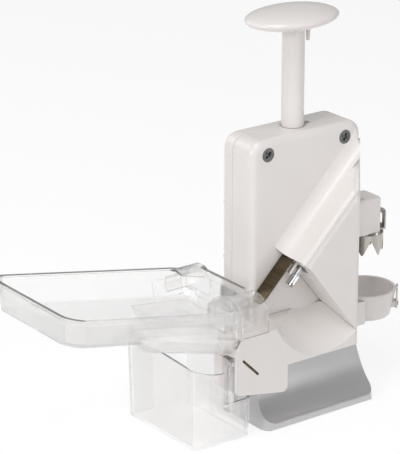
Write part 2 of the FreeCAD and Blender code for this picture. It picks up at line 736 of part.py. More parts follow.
def tray():
    length = (tray_right - tray_left) / math.cos(tray_slope)

    def basin(inset, lift, top):
        low_left = -length + tray_draft + inset
        lower = rectangle(low_left, -inset, tray_front + tray_draft + inset, tray_behind - tray_draft - inset)
        upper = rectangle(-length + inset, -inset, tray_front + inset, tray_behind - inset)
        return loft_between(lower, 13 - inset, -tray_depth + lift, upper, 15 - inset, top)
    rim = prism_along_z(rectangle(-length - 1.2, 0.0, tray_front - 1.2, tray_behind + 1.2), 15, -1.8, 0)
    body = tray_frame(basin(0, 0, 0).fuse(rim))
    # raised right wall with a level top
    body = body.fuse(box(tray_right - tray_wall - 1, tray_right, -14, hood_y, 80, 102))
    # covered way at the back, an arch on straight walls
    hood = Part.makeCylinder(cradle_r + 1.6, 22, vec(-70, hood_y, tunnel_spring_z - 2), vec(1, 0, 0))
    hood = hood.common(box(-100, 0, 0, 60, tunnel_spring_z - 8, 120))
    hood_inner = Part.makeCylinder(cradle_r, 40, vec(-80, hood_y, tunnel_spring_z - 2), vec(1, 0, 0))
    # trough that leads one fruit after another to the opening
    lean = math.degrees(trough_slope)
    run = (trough_to - trough_from) / math.cos(trough_slope)

    def trough(radius, past):
        bore = Part.makeCylinder(radius, run + past, vec(-run, 0, 0), vec(1, 0, 0))
        bore = bore.fuse(Part.makeSphere(radius, vec(-run, 0, 0)))
        bore.rotate(vec(0, 0, 0), vec(0, 1, 0), lean)
        bore.translate(vec(trough_to, pin_y, trough_to_z))
        return bore
    below = tray_frame(box(-length, 0, -60, 60, -60, -2))
    outer_trough = trough(cradle_r + tray_wall, 3).common(below).common(box(-300, trough_to, -60, 0, 0, 120))
    plate_centre = vec(trough_to - 2, pin_y, tunnel_spring_z + 1)
    plate_top = Part.makeCylinder(cradle_r + 3, 2, plate_centre, vec(1, 0, 0))
    plate = plate_top.fuse(box(trough_to - 2, trough_to, pin_y - cradle_r - 3, -12,
                               76, tunnel_spring_z + 1))
    notch_wall = box(trough_to - 2, tray_right, -14, -12, 80, 98)
    body = body.fuse([outer_trough, hood])
    room = tray_frame(basin(tray_wall, tray_wall, 0.5))
    body = body.cut(room)
    above_floor = tray_frame(box(-length, -tray_wall, 0, 60, -tray_depth + tray_wall, 40))
    body = body.cut(hood_inner.common(above_floor))
    body = body.cut(box(trough_to, tray_right + 1, -60, -14, 40, 130))
    body = body.fuse([plate, notch_wall])
    body = body.cut(trough(cradle_r, 3).common(tray_frame(box(-length, 5, -60, 60, -60, -1))))
    way = Part.makeCylinder(cradle_r, 6, vec(trough_to - 4, pin_y, tunnel_spring_z), vec(1, 0, 0))
    way = way.fuse(box(trough_to - 4, trough_to + 2, pin_y - cradle_r, pin_y + cradle_r,
                       trough_to_z, tunnel_spring_z))
    body = body.cut(way)
    # two hooks on the right wall
    for y in hook_y:
        body = body.fuse(box(tray_right - 1, tray_right + 1.0, y - 4, y + 4, 84, 97))
    return body.removeSplitter()


def tray_holder():
    # rail on the housing's left side, open at the top for the tray's hooks
    rail = box(tray_right + 0.3, -house_half, -13, 14.5, 78, 95)
    for y in hook_y:
        rail = rail.cut(box(tray_right - 1, tray_right + 1.3, y - 4.3, y + 4.3, 83.7, 96))
    return rail


def stone_container():
    def case(inset, low, high):
        plan = rectangle(box_left + inset, box_right - inset, box_front + inset, box_behind - inset)
        foot_plan = rectangle(box_left + inset + 1.2, box_right - inset - 1.2,
                              box_front + inset + 1.2, box_behind - inset - 1.2)
        return loft_between(foot_plan, 10 - inset, low, plan, 11 - inset, high)
    body = case(0, 0, box_high).cut(case(1.8, 1.8, box_high + 0.01))
    # the rim falls from the left to the step under the bracket
    fall = prism_along_y([(box_left + 2, box_high), (-82, 56), (-50, 56), (-50, 80), (box_left + 2, 80)],
                         0, -60, -20)
    body = body.cut(fall)
    body = body.cut(box(-81, -40, -60, -13, box_low, 90))
    lug = box(-84, -80.0, -40, box_front + 0.9, 27, 66)
    lug = lug.cut(box(-81.7, -79, -41, -30, 59.6, 63.4))
    return body.fuse(lug).removeSplitter()


def plum_block():
    plan = rectangle(plum_block_left, plum_block_right, -plum_block_half, plum_block_half)
    block = prism_along_z(plan, 3, plum_block_bottom, plum_block_top)
    top = edges_where(block, lambda p: abs(p.z - plum_block_top) < 0.01)
    block = block.makeFillet(2, top)
    block = block.fuse(box(52, 63, plum_block_half - 1, plum_block_half + 1.9, 133, 143))
    block = block.cut(box(55, 61, -6.5, -5.0, plum_block_top - 3, plum_block_top + 1))
    tongue_hole = box(40, plum_block_left + 4.05, plate_front - 0.05, plate_back + 0.05, 121.95, 134.05)
    return block.cut(tongue_hole).removeSplitter()


def blade_carrier():
    # bent strip: a plate under the block and a leg with a window beside it
    low = plum_block_bottom - 1.5
    outer = carrier_x + 1.4
    plate = box(53, outer, -5.5, 5.5, low, plum_block_bottom - 0.02)
    leg = prism_along_x([(-5.5, low), (5.5, low), (5.5, carrier_top), (-5.5, carrier_top)], [0, 0, 3, 3],
                        carrier_x, outer)
    window = prism_along_x(rectangle(-2.6, 2.6, 117, carrier_top - 3.5), 1.2, carrier_x - 1, outer + 1)
    return plate.fuse(leg).cut(window).removeSplitter()


def plum_blade():
    # ring of thin steel whose lower edge is cut into points
    high = plum_block_bottom - 1.55
    ring = disc(blade_r, blade_x, 0, blade_low, high)
    ring = ring.cut(disc(blade_r - blade_thick, blade_x, 0, blade_low - 1, high + 1))
    count = 6
    half_gap = math.pi * blade_r / count - 0.5
    for i in range(count):
        points = [vec(0, -half_gap, blade_low - 1), vec(0, half_gap, blade_low - 1), vec(0, 0, high - 3.5)]
        gap = Part.Face(Part.makePolygon(points + points[:1])).extrude(vec(2 * blade_r, 0, 0))
        gap.rotate(vec(0, 0, 0), vec(0, 0, 1), 360 / count * i - 53.5)
        gap.translate(vec(blade_x, 0, 0))
        ring = ring.cut(gap)
    return ring


def clip_side(shape):
    # turns what is drawn at the cup's +X side to the clip's place on the rim
    placed = shape.copy()
    placed.rotate(vec(cup_x, 0, 0), vec(0, 0, 1), clip_turn)
    return placed


def plum_cup():
    def bowl(top_r, foot_r, low, high):
        return Part.makeCone(foot_r, top_r, high - low, vec(cup_x, 0, low))
    room = bowl(cup_r - 2, cup_foot_r - 1.5, cup_bottom + 3, cup_top + 0.01)
    cup = bowl(cup_r, cup_foot_r, cup_bottom, cup_top)
    rim = edges_where(cup, lambda p: abs(p.z - cup_bottom) < 0.01)
    cup = cup.makeFillet(3, rim)
    # boss behind the clip, and two arms that carry the cup on the housing
    boss = Part.makeCylinder(3.2, 6, vec(cup_x + cup_r - 6, 0, clip_rivet_z), vec(1, 0, 0))
    arms = []
    for side in (1, -1):
        near = min(side * 12.3, side * 16.3)
        arms.append(box(house_half, 56, near, near + 4, cup_bottom, cup_top - 3))
    cup = cup.fuse(arms + [clip_side(boss)])
    cup = cup.cut(room)
    cup = cup.cut(disc(cup_hole_r, cup_x, 0, cup_bottom - 1, cup_bottom + 5))
    cup = cup.cut(box(40, cup_x - 1, -12.2, 12.2, 40, 80))
    return cup.common(box(house_half, 100, -60, 60, 40, 80)).removeSplitter()


def cup_clip():
    x = cup_x + cup_r + 0.05
    strip = box(x, x + 1.2, -3.6, 3.6, clip_rivet_z - 3.4, cup_top + 1.8)
    strip = strip.makeFillet(2, [e for e in strip.Edges if abs(e.Length - 1.2) < 0.01])
    return clip_side(strip.cut(Part.makeCylinder(1.05, 6, vec(x - 2, 0, clip_rivet_z), vec(1, 0, 0))))


def cup_rivet():
    x = cup_x + cup_r
    stem = Part.makeCylinder(1.0, 1.4, vec(x + 0.05, 0, clip_rivet_z), vec(1, 0, 0))
    head = Part.makeCone(1.8, 1.2, 0.7, vec(x + 1.3, 0, clip_rivet_z), vec(1, 0, 0))
    return clip_side(stem.fuse(head))


makers = [front_shell, back_shell, top_bush, foot, foot_pad, shell_screws, foot_screws, spring_guide_rod,
          return_spring, knob, index_peg, plunger_tube, tube_pin, crosshead, pin_carriage, follower_stud,
          cherry_pin, pin_head, pin_guide, guard_strip, pit_plate, feed_tunnel, tray, tray_holder,
          stone_container, plum_block, blade_carrier, plum_blade, plum_cup, cup_clip, cup_rivet]

os.makedirs("parts", exist_ok=True)
for maker in makers:
    shape = maker()
    print(maker.__name__, len(shape.Solids), shape.isValid(), round(shape.Volume), shape.BoundBox)
    shape.exportStep("parts/" + maker.__name__ + ".step")
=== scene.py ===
from math import radians, sin, cos, tan, pi

import bpy
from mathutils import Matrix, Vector


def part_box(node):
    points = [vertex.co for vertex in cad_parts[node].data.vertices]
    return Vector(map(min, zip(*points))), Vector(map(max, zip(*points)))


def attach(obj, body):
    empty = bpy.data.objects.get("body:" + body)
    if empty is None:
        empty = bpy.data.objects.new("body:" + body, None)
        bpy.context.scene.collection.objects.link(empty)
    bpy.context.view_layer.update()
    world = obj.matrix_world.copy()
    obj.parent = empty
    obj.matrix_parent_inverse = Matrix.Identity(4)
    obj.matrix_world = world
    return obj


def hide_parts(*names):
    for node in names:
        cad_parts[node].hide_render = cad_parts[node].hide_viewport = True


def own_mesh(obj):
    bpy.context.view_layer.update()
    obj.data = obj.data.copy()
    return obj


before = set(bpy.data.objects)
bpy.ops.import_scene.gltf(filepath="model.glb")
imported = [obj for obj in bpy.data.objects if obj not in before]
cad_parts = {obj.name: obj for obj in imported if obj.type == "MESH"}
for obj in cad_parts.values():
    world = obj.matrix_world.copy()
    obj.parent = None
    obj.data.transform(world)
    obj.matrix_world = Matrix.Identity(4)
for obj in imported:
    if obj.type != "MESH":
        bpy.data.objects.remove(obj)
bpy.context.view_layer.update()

millimetre = 0.001
near = 0.01  # mm, points closer than this count as one place
print("frame loaded:", len(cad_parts), "nodes")


# Small helpers

def metres(place):
    return [value * millimetre for value in place]


def deselectAll():
    if bpy.context.object and bpy.context.object.mode != "OBJECT":
        bpy.ops.object.mode_set(mode="OBJECT")
    bpy.ops.object.select_all(action="DESELECT")


def makeActive(piece):
    deselectAll()
    piece.select_set(True)
    bpy.context.view_layer.objects.active = piece


def applyPlace(piece):
    makeActive(piece)
    bpy.ops.object.transform_apply(location=True, rotation=True, scale=True)


def facingUp(centre, normal):
    return normal.z > 0.9


def facingDown(centre, normal):
    return normal.z < -0.9


def selectFaces(piece, test):
    # picks faces by their centre and normal, then returns to edit mode in face mode
    bpy.ops.object.mode_set(mode="EDIT")
    bpy.ops.mesh.select_mode(type="FACE")
    bpy.ops.mesh.select_all(action="DESELECT")
    bpy.ops.object.mode_set(mode="OBJECT")
    for face in piece.data.polygons:
        face.select = test(face.center, face.normal)
    bpy.ops.object.mode_set(mode="EDIT")


def selectEdges(piece, test):
    # picks edges by the places of their two ends, then returns to edit mode in edge mode
    bpy.ops.object.mode_set(mode="EDIT")
    bpy.ops.mesh.select_mode(type="EDGE")
    bpy.ops.mesh.select_all(action="DESELECT")
    bpy.ops.object.mode_set(mode="OBJECT")
    points = piece.data.vertices
    for edge in piece.data.edges:
        edge.select = test(points[edge.vertices[0]].co, points[edge.vertices[1]].co)
    bpy.ops.object.mode_set(mode="EDIT")


def recalculate(piece):
    makeActive(piece)
    bpy.ops.object.mode_set(mode="EDIT")
    bpy.ops.mesh.select_all(action="SELECT")
    bpy.ops.mesh.remove_doubles(threshold=near * millimetre)
    bpy.ops.mesh.normals_make_consistent(inside=False)
    bpy.ops.object.mode_set(mode="OBJECT")


def makeBlock(low, high):
    # a plain block between two corners given in mm
    deselectAll()
    middle = [(a + b) / 2 * millimetre for a, b in zip(low, high)]
    bpy.ops.mesh.primitive_cube_add(size=1, location=middle)
    block = bpy.context.object
    block.scale = [(b - a) * millimetre for a, b in zip(low, high)]
    applyPlace(block)
    return block


def makeWedge(low, high, axis, end, endHeight):
    # a block whose underside slopes to another height at one end of the axis
    wedge = makeBlock(low, high)
    for point in wedge.data.vertices:
        atEnd = abs(point.co[axis] - end * millimetre) < near * millimetre
        if atEnd and point.co.z < (low[2] + near) * millimetre:
            point.co.z = endHeight * millimetre
    return wedge


def combine(piece, other, operation):
    # the other shape is joined to the piece or cut from it, and goes
    makeActive(piece)
    step = piece.modifiers.new("Step", "BOOLEAN")
    step.operation = operation
    step.object = other
    step.solver = "EXACT"
    bpy.ops.object.modifier_apply(modifier="Step")
    bpy.data.objects.remove(other)


edgeFinish = {
    "flatBelow": 0.6,  # degrees between facets that are joined into one face
    "smoothBelow": 40,
    "weight": 80,
}


def finishEdges(piece, width, segments=2, sharpAbove=30):
    # rounds the sharp edges by a width in mm and keeps the flat faces flat in the shading
    makeActive(piece)
    if width > 0:
        bevel = piece.modifiers.new("Edges", "BEVEL")
        bevel.width = width * millimetre
        bevel.segments = segments
        bevel.limit_method = "ANGLE"
        bevel.angle_limit = radians(sharpAbove)
        bevel.use_clamp_overlap = True
        bpy.ops.object.modifier_apply(modifier="Edges")
    bpy.ops.object.shade_smooth_by_angle(angle=radians(edgeFinish["smoothBelow"]))
    weighted = piece.modifiers.new("Normals", "WEIGHTED_NORMAL")
    weighted.keep_sharp = True
    weighted.weight = edgeFinish["weight"]
    bpy.ops.object.modifier_apply(modifier="Normals")


def settle(piece, body, slot, material, *nodes):
    # gives a finished piece its material and its body, and hides the CAD nodes that it stands for
    piece.data.materials.clear()
    piece.data.materials.append(material)
    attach(piece, body)
    if nodes:
        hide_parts(*nodes)


# Materials

def newMaterial(name):
    material = bpy.data.materials.new(name)
    material.use_nodes = True
    tree = material.node_tree
    shader = tree.nodes["Principled BSDF"]
    coords = tree.nodes.new("ShaderNodeTexCoord")
    return material, tree, shader, coords


def addNoise(tree, coords, scale, detail, stretch=(1, 1, 1)):
    mapping = tree.nodes.new("ShaderNodeMapping")
    mapping.inputs["Scale"].default_value = stretch
    noise = tree.nodes.new("ShaderNodeTexNoise")
    noise.inputs["Scale"].default_value = scale
    noise.inputs["Detail"].default_value = detail
    tree.links.new(coords.outputs["Object"], mapping.inputs["Vector"])
    tree.links.new(mapping.outputs["Vector"], noise.inputs["Vector"])
    return noise


def addRamp(tree, factor, low, high, start=0.3, end=0.7):
    ramp = tree.nodes.new("ShaderNodeValToRGB")
    ramp.color_ramp.elements[0].position = start
    ramp.color_ramp.elements[1].position = end
    ramp.color_ramp.elements[0].color = (*low, 1)
    ramp.color_ramp.elements[1].color = (*high, 1)
    tree.links.new(factor, ramp.inputs["Fac"])
    return ramp


def addRange(tree, factor, low, high, start=0, end=1):
    scaled = tree.nodes.new("ShaderNodeMapRange")
    scaled.inputs["From Min"].default_value = start
    scaled.inputs["From Max"].default_value = end
    scaled.inputs["To Min"].default_value = low
    scaled.inputs["To Max"].default_value = high
    tree.links.new(factor, scaled.inputs["Value"])
    return scaled


def addLargest(tree, first, second):
    largest = tree.nodes.new("ShaderNodeMath")
    largest.operation = "MAXIMUM"
    tree.links.new(first, largest.inputs[0])
    tree.links.new(second, largest.inputs[1])
    return largest.outputs["Value"]


paintedNookShade = {
    "samples": 8,
    "open": (0.35, 0.85),  # how open a spot is where the shade ends and where it is full light
}


def addPaintedNookShade(tree, shader, colour, reach, dark):
    # painted shade: joints, corners and creases are darkened where the space around them is closed in
    nook = tree.nodes.new("ShaderNodeAmbientOcclusion")
    nook.samples = paintedNookShade["samples"]
    nook.inputs["Distance"].default_value = reach
    depth = addRange(tree, nook.outputs["AO"], dark, 1.0, *paintedNookShade["open"])
    darken = tree.nodes.new("ShaderNodeVectorMath")
    darken.operation = "SCALE"
    tree.links.new(colour, darken.inputs[0])
    tree.links.new(depth.outputs["Result"], darken.inputs["Scale"])
    tree.links.new(darken.outputs["Vector"], shader.inputs["Base Color"])


def addBump(tree, shader, height, strength, distance):
    bump = tree.nodes.new("ShaderNodeBump")
    bump.inputs["Strength"].default_value = strength
    bump.inputs["Distance"].default_value = distance
    tree.links.new(height, bump.inputs["Height"])
    tree.links.new(bump.outputs["Normal"], shader.inputs["Normal"])


whitePlasticLook = {
    "shade": (0.750, 0.712, 0.692),
    "light": (0.790, 0.752, 0.732),
    "cloudScale": 18,
    "cloudDetail": 3,
    "roughness": (0.20, 0.30),
    "wearScale": 60,
    "wearDetail": 4,
    "skinScale": 900,
    "skinDetail": 2,
    "skinStrength": 0.05,
    "skinHeight": 0.0004,
    # painted shade in joints and corners: how far it reaches and how dark it gets
    "nookReach": 0.0010,
    "nookDark": 0.42,
    "ior": 1.5,
    "coat": 0.25,
    "coatRoughness": 0.08,
}

innerPlasticLook = {
    **whitePlasticLook,
    "shade": (0.66, 0.65, 0.61),
    "light": (0.72, 0.71, 0.67),
    "cloudScale": 30,
    "roughness": (0.45, 0.6),
    "skinScale": 1200,
    "skinStrength": 0.15,
    # stronger painted shade in joints and corners
    "nookReach": 0.004,
    "nookDark": 0.45,
}


def makeWhitePlastic(name, look):
    material, tree, shader, coords = newMaterial(name)
    clouds = addNoise(tree, coords, look["cloudScale"], look["cloudDetail"])
    tone = addRamp(tree, clouds.outputs["Fac"], look["shade"], look["light"])
    # painted shade in joints and corners darkens the colour
    addPaintedNookShade(tree, shader, tone.outputs["Color"], look["nookReach"], look["nookDark"])
    wear = addNoise(tree, coords, look["wearScale"], look["wearDetail"])
    gloss = addRange(tree, wear.outputs["Fac"], *look["roughness"])
    tree.links.new(gloss.outputs["Result"], shader.inputs["Roughness"])
    skin = addNoise(tree, coords, look["skinScale"], look["skinDetail"])
    addBump(tree, shader, skin.outputs["Fac"], look["skinStrength"], look["skinHeight"])
    shader.inputs["IOR"].default_value = look["ior"]
    shader.inputs["Coat Weight"].default_value = look["coat"]
    shader.inputs["Coat Roughness"].default_value = look["coatRoughness"]
    return material


clearPlasticLook = {
    "face": (0.97, 0.96, 0.955),
    # painted shade: the colour the walls darken to where they are seen edge-on
    "edge": (0.42, 0.42, 0.41),
    "edgeShadeFrom": (0.55, 0.97),
    "facingBlend": 0.35,
    "cover": (0.50, 0.95),
    "coverFrom": (0.45, 0.95),
    "through": 0.88,
    "roughness": 0.04,
    "ior": 1.33,
    "rippleScale": 55,
    "rippleDetail": 2,
    "rippleStrength": 0.05,
    "rippleHeight": 0.0006,
}

# painted shade: the rims of the clear mouldings are drawn near black
paintedRimShadeLook = {
    **clearPlasticLook,
    "face": (0.09, 0.09, 0.088),
    "edge": (0.05, 0.05, 0.05),
    "cover": (0.80, 0.97),
    "through": 0.3,
    "roughness": 0.08,
    "rippleStrength": 0.03,
}


def makeClearPlastic(name, look):
    material, tree, shader, coords = newMaterial(name)
    # painted shade: the colour darkens from face to edge as a wall turns edge-on to the view
    facing = tree.nodes.new("ShaderNodeLayerWeight")
    facing.inputs["Blend"].default_value = look["facingBlend"]
    tone = addRamp(tree, facing.outputs["Facing"], look["face"], look["edge"], *look["edgeShadeFrom"])
    tree.links.new(tone.outputs["Color"], shader.inputs["Base Color"])
    shader.inputs["Roughness"].default_value = look["roughness"]
    cover = addRange(tree, facing.outputs["Facing"], *look["cover"], *look["coverFrom"])
    tree.links.new(cover.outputs["Result"], shader.inputs["Alpha"])
    shader.inputs["Transmission Weight"].default_value = look["through"]
    shader.inputs["IOR"].default_value = look["ior"]
    ripple = addNoise(tree, coords, look["rippleScale"], look["rippleDetail"])
    addBump(tree, shader, ripple.outputs["Fac"], look["rippleStrength"], look["rippleHeight"])
    return material


castSilverLook = {
    "shade": (0.545, 0.54, 0.55),
    "light": (0.575, 0.57, 0.58),
    "metal": 0.7,
    "blotchScale": 25,
    "blotchDetail": 4,
    "roughness": (0.27, 0.295),
    "grainScale": 600,
    "grainDetail": 2,
    "grainStrength": 0.012,
    "grainHeight": 0.0002,
}


def makeCastSilver(name, look):
    material, tree, shader, coords = newMaterial(name)
    grain = addNoise(tree, coords, look["grainScale"], look["grainDetail"])
    blotch = addNoise(tree, coords, look["blotchScale"], look["blotchDetail"])
    tone = addRamp(tree, blotch.outputs["Fac"], look["shade"], look["light"])
    tree.links.new(tone.outputs["Color"], shader.inputs["Base Color"])
    rough = addRange(tree, blotch.outputs["Fac"], *look["roughness"])
    tree.links.new(rough.outputs["Result"], shader.inputs["Roughness"])
    shader.inputs["Metallic"].default_value = look["metal"]
    addBump(tree, shader, grain.outputs["Fac"], look["grainStrength"], look["grainHeight"])
    return material


brushedSteelLook = {
    "lineScale": 400,
    "lineDetail": 4,
    "lineStrength": 0.15,
    "lineHeight": 0.0002,
    "smoother": 0.06,
    "rougher": 0.08,
    # painted shade in joints and corners: how far it reaches and how dark it gets
    "nookReach": 0.0016,
    "nookDark": 0.08,
}


def makeBrushedSteel(name, shade, light, roughness, stretch=(1, 1, 1)):
    look = brushedSteelLook
    material, tree, shader, coords = newMaterial(name)
    lines = addNoise(tree, coords, look["lineScale"], look["lineDetail"], stretch)
    tone = addRamp(tree, lines.outputs["Fac"], shade, light)
    # painted shade in joints and corners darkens the colour
    addPaintedNookShade(tree, shader, tone.outputs["Color"], look["nookReach"], look["nookDark"])
    rough = addRange(tree, lines.outputs["Fac"],
                     roughness - look["smoother"], roughness + look["rougher"])
    tree.links.new(rough.outputs["Result"], shader.inputs["Roughness"])
    shader.inputs["Metallic"].default_value = 1.0
    addBump(tree, shader, lines.outputs["Fac"], look["lineStrength"], look["lineHeight"])
    return material


blackRubberLook = {
    "shade": (0.02, 0.02, 0.021),
    "light": (0.045, 0.045, 0.047),
    "roughness": 0.7,
    "dustScale": 120,
    "dustDetail": 5,
    "dustStrength": 0.3,
    "dustHeight": 0.0004,
}


def makeRubber(name, look):
    material, tree, shader, coords = newMaterial(name)
    dust = addNoise(tree, coords, look["dustScale"], look["dustDetail"])
    tone = addRamp(tree, dust.outputs["Fac"], look["shade"], look["light"])
    tree.links.new(tone.outputs["Color"], shader.inputs["Base Color"])
    shader.inputs["Roughness"].default_value = look["roughness"]
    addBump(tree, shader, dust.outputs["Fac"], look["dustStrength"], look["dustHeight"])
    return material


whitePlastic = makeWhitePlastic("glossy warm white", whitePlasticLook)
innerPlastic = makeWhitePlastic("matt natural white", innerPlasticLook)
clearPlastic = makeClearPlastic("clear moulding", clearPlasticLook)
paintedRimShade = makeClearPlastic("clear rim painted shade", paintedRimShadeLook)
castSilver = makeCastSilver("cast silver lacquer", castSilverLook)
# name, darker and lighter tone, roughness
darkSheet = makeBrushedSteel("polished sheet", (0.085, 0.062, 0.036), (0.14, 0.108, 0.068), 0.24,
                             stretch=(1, 0.08, 1))
screwSteel = makeBrushedSteel("burnished screw", (0.12, 0.12, 0.12), (0.21, 0.21, 0.21), 0.34)
bladeSteel = makeBrushedSteel("blade steel", (0.42, 0.39, 0.36), (0.58, 0.55, 0.51), 0.28,
                              stretch=(1, 1, 0.1))
platedSteel = makeBrushedSteel("zinc plate", (0.40, 0.40, 0.41), (0.55, 0.55, 0.56), 0.32)
chrome = makeBrushedSteel("bright chrome", (0.62, 0.62, 0.63), (0.74, 0.74, 0.75), 0.12)
blackRubber = makeRubber("black rubber", blackRubberLook)
print("materials made")


# CAD forms whose shape is right: edges rounded, surfaces smoothed

dressed = [
    # node, name, edge radius in mm, body, slot, material
    ("front_shell", "frontMoulding", 0.7, "root", "white_plastic", whitePlastic),
    ("back_shell", "backMoulding", 0.7, "root", "white_plastic", whitePlastic),
    ("top_bush", "guideBush", 0.3, "root", "inner_plastic", innerPlastic),
    ("foot", "castFoot", 1.7, "root", "cast_silver", castSilver),
    ("foot_pad", "rubberPad", 0.4, "root", "rubber", blackRubber),
    ("guard_strip", "stripperStrip", 0.15, "root", "stainless", darkSheet),
    ("pit_plate", "stonePlate", 0.2, "root", "stainless", darkSheet),
    ("feed_tunnel", "feedArch", 0.4, "root", "clear_plastic", clearPlastic),
    ("tray_holder", "trayRail", 0.3, "root", "inner_plastic", innerPlastic),
    ("pin_guide", "pinGuide", 0.3, "root", "white_plastic", whitePlastic),
    ("plum_cup", "plumCup", 0.6, "root", "white_plastic", whitePlastic),
    ("cup_clip", "cupClip", 0.2, "root", "stainless", bladeSteel),
    ("cup_rivet", "cupRivet", 0.15, "root", "stainless", bladeSteel),
    ("plunger_tube", "plungerTube", 0.3, "plunger", "white_plastic", whitePlastic),
    ("plum_block", "plumBlock", 0.5, "plunger", "white_plastic", whitePlastic),
    ("blade_carrier", "bladeCarrier", 0.2, "plunger", "stainless", bladeSteel),
    ("plum_blade", "plumBlade", 0.1, "plunger", "stainless", bladeSteel),
    ("cherry_pin", "pinShaft", 0.2, "pin", "chrome", chrome),
]


def dressNode(nodeName, pieceName, edge):
    # a copy of the CAD mesh, welded, with its coplanar facets joined
    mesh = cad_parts[nodeName].data.copy()
    mesh.name = pieceName
    piece = bpy.data.objects.new(pieceName, mesh)
    bpy.context.scene.collection.objects.link(piece)
    makeActive(piece)
    bpy.ops.object.mode_set(mode="EDIT")
    bpy.ops.mesh.select_all(action="SELECT")
    bpy.ops.mesh.remove_doubles(threshold=near * millimetre)
    bpy.ops.mesh.dissolve_limited(angle_limit=radians(edgeFinish["flatBelow"]))
    bpy.ops.object.mode_set(mode="OBJECT")
    finishEdges(piece, edge)
    return piece


for nodeName, pieceName, edge, body, slot, material in dressed:
    piece = dressNode(nodeName, pieceName, edge)
    settle(piece, body, slot, material, nodeName)
print("mouldings dressed")


def markPaintedRimShade(piece, values, test):
    # painted shade: rim faces get a near-black clear material, darker than the walls of a clear moulding
    piece.data.materials.append(paintedRimShade)
    for face in piece.data.polygons:
        if test(values, face.center / millimetre, face.normal):
            face.material_index = 1


# Hopper tray: the wall behind the covered way is closed

hopperTray = {
    "edge": 0.5,
    "patchLow": (-82.0, 47.65, 80.0),
    "patchHigh": (-58.0, 49.55, 93.0),
    "patchLean": 3.2,
    "slope": 11.0,
    "rimAtNought": 86.3,
    "rimDepth": 0.6,
    "backFrom": 42.0,
    "leftFrom": -204.0,
    "hoodFrom": (-56.0, 101.2),  # x and z past which the hood's top edge lies
    "mouthX": (-72.0, -69.0),
    "mouthFrom": (22.0, 90.0),  # y and z past which the mouth's edge lies
}


def makeHopperTray(values):
    piece = dressNode("tray", "hopperTray", 0)
    patch = makeBlock(values["patchLow"], values["patchHigh"])
    selectFaces(patch, facingUp)
    bpy.ops.transform.translate(value=(0, values["patchLean"] * millimetre, 0))
    bpy.ops.object.mode_set(mode="OBJECT")
    combine(piece, patch, "UNION")
    # the rim is divided where its painted shade begins
    makeActive(piece)
    bpy.ops.object.mode_set(mode="EDIT")
    for place, normal in (((0, values["backFrom"], 0), (0, 1, 0)),
                          ((values["leftFrom"], 0, 0), (1, 0, 0))):
        bpy.ops.mesh.select_all(action="SELECT")
        bpy.ops.mesh.bisect(plane_co=metres(place), plane_no=normal)
    bpy.ops.object.mode_set(mode="OBJECT")
    finishEdges(piece, values["edge"])
    return piece


def onTrayRim(values, centre, normal):
    # faces that get the painted rim shade: the sloping back and left rim, the hood's top edge and the
    # edge of the mouth
    x, y, z = centre
    rim = values["rimAtNought"] - x * tan(radians(values["slope"]))
    onTop = z > rim - values["rimDepth"]
    backOrLeft = y > values["backFrom"] or x < values["leftFrom"]
    hood = x > values["hoodFrom"][0] and z > values["hoodFrom"][1]
    mouth = values["mouthX"][0] < x < values["mouthX"][1] and y > values["mouthFrom"][0]
    if abs(normal.x) > 0.95 and mouth and z > values["mouthFrom"][1]:
        return True
    return normal.z > 0.5 and (onTop and backOrLeft or hood)


tray = makeHopperTray(hopperTray)
settle(tray, "tray", "clear_plastic", clearPlastic, "tray")
markPaintedRimShade(tray, hopperTray, onTrayRim)
print("tray made")


# Clear box under the bracket: its rim falls towards the housing

stoneBox = {
    "low": (-108.0, -33.0, 0.0),
    "high": (-57.0, 49.0, 66.0),
    "footInset": 1.2,
    "cornerRadius": 5.0,
    "cornerSteps": 6,
    "bottomRadius": 2.0,
    "bottomSteps": 3,
    "wall": 1.8,
    "edge": 0.35,
    "past": (3.0, 4.0),  # how far a cutter stands past the wall and above the rim
    # height of the rim along y on the left wall and along x on the front wall
    "sideFall": ((24.0, 66.5), (14.0, 62.0), (-12.0, 60.8), (-36.0, 59.4)),
    "sideFallTo": -100.0,
    "fall": ((-109.0, 60.5), (-103.0, 58.2), (-97.0, 55.6), (-90.0, 53.6), (-82.0, 52.4), (-50.0, 52.4)),
    "fallTo": -24.0,
    "step": ((-81.0, -50.0), (-50.0, -13.0), (29.0, 100.0)),
    "lugLow": (-84.0, -40.0, 27.0),
    "lugHigh": (-80.0, -32.1, 66.0),
    "lugSlot": ((-81.7, -79.0), (-41.0, -30.0), (59.6, 63.4)),
    "rimAbove": 28.5,
}


